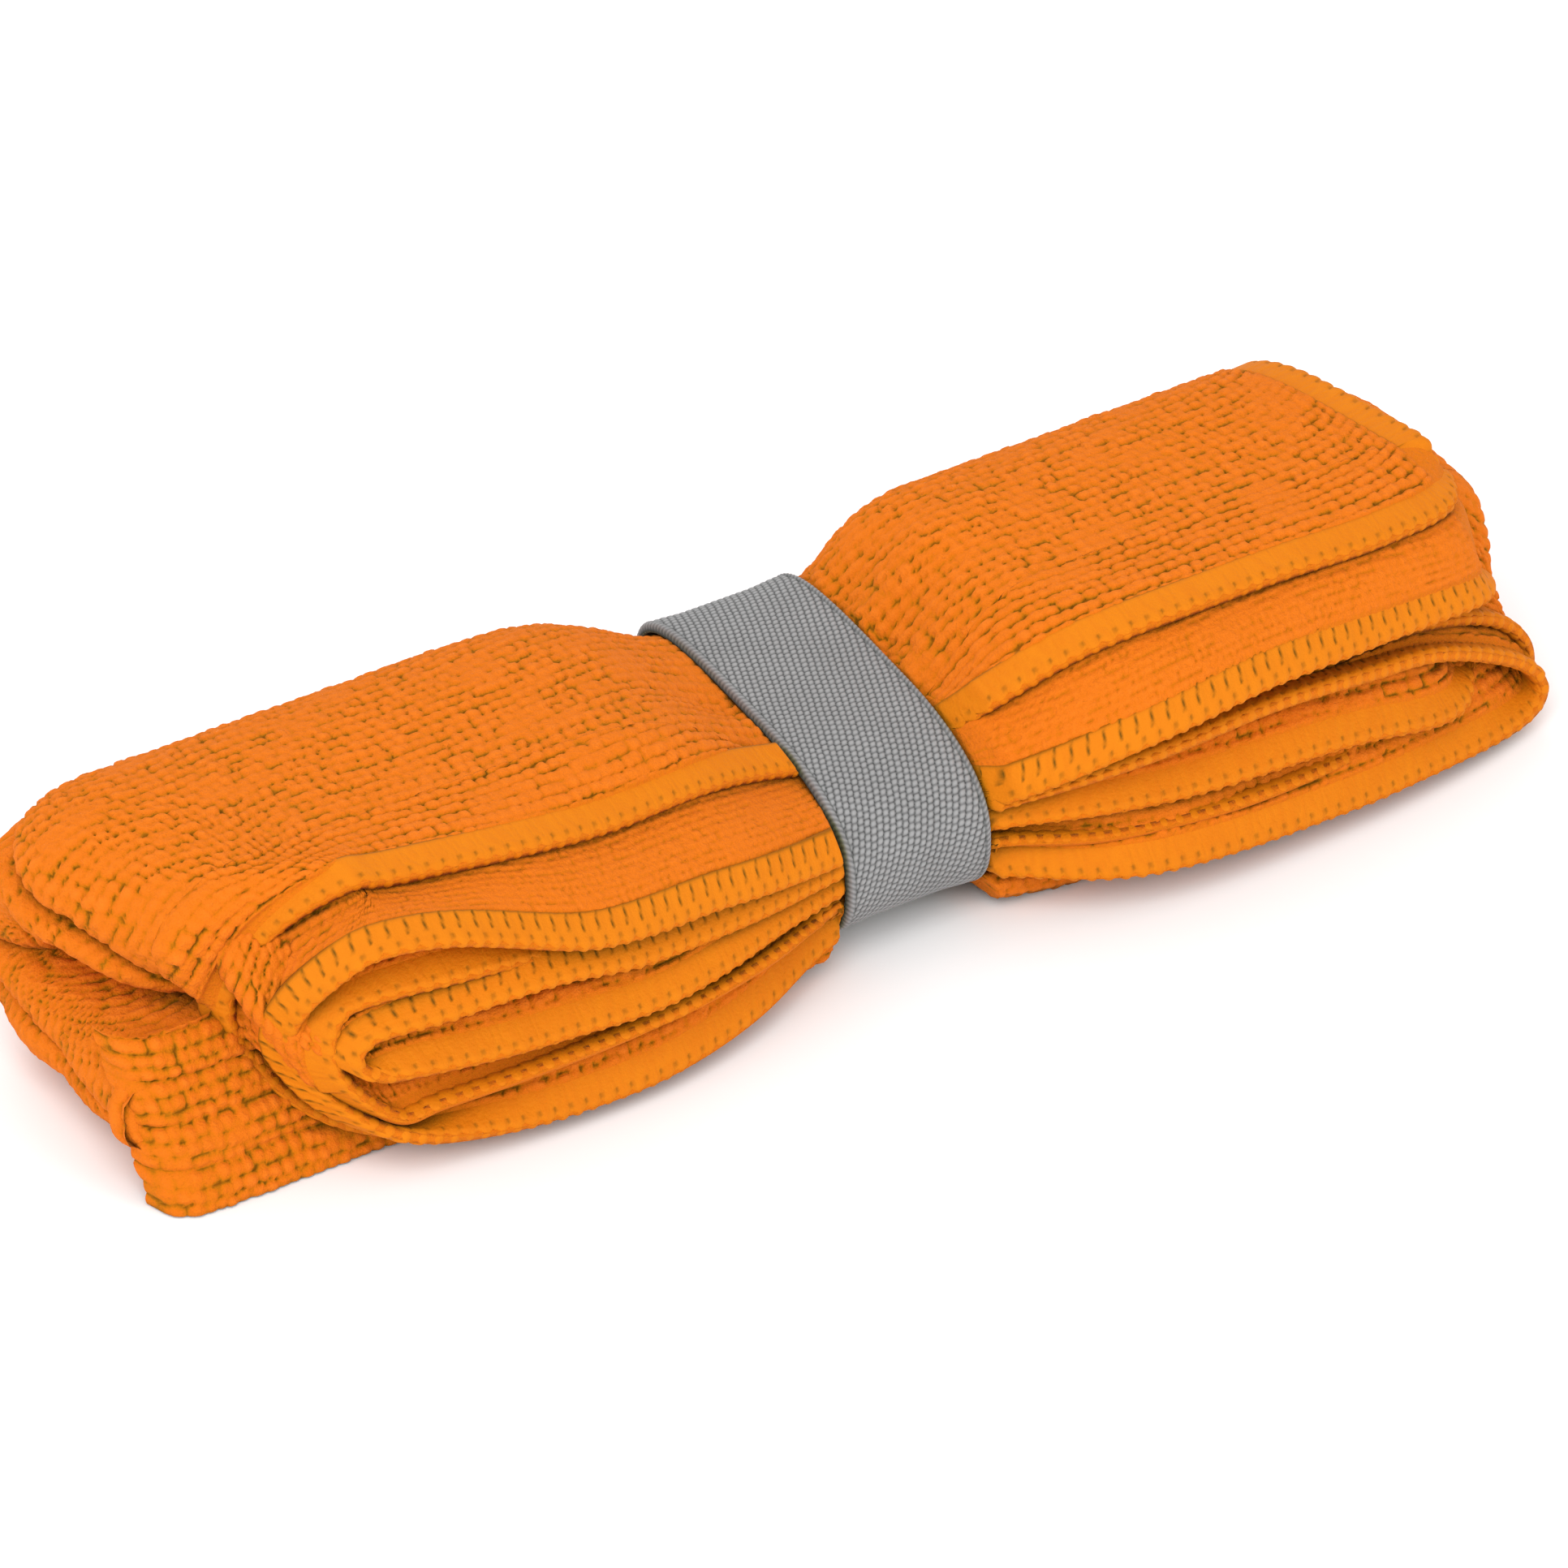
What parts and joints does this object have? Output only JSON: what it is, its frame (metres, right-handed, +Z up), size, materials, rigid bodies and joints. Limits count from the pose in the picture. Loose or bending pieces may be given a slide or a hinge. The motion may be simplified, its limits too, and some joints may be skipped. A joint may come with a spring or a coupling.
{
  "type": "quick dry towel",
  "caption": "Microfibre terry towel with overlocked edges, folded and rolled into a flat bundle and held round its middle by a woven elastic band.",
  "frame": {"origin": "middle of the bundle's footprint, on the surface that it lies on", "axes": "+X along the bundle towards the outer end of the roll, +Y towards its back, +Z up"},
  "size_m": [0.268, 0.0801, 0.05],
  "materials": {
    "terry_pile": "orange microfibre loop pile in rows along the towel, matt",
    "overlock_thread": "orange textured polyester overlock thread, satin",
    "elastic_webbing": "grey woven elastic with a fine diagonal rib, matt",
    "seam_thread": "dark grey sewing thread, matt"
  },
  "bodies": {
    "towel": {"towel_cloth": "terry_pile", "near_long_edge_overlock": "overlock_thread", "far_long_edge_overlock": "overlock_thread", "outer_short_edge_overlock": "overlock_thread", "inner_short_edge_overlock": "overlock_thread"},
    "band": {"elastic_band": "elastic_webbing", "band_lap_stitching": "seam_thread"}
  },
  "joints": [
    {"name": "band_slide", "type": "slide", "parent": "towel", "child": "band", "axis": [1, 0, 0], "range_m": [-0.17, 0.152], "deforming": ["elastic_band", "band_lap_stitching"]}
  ]
}
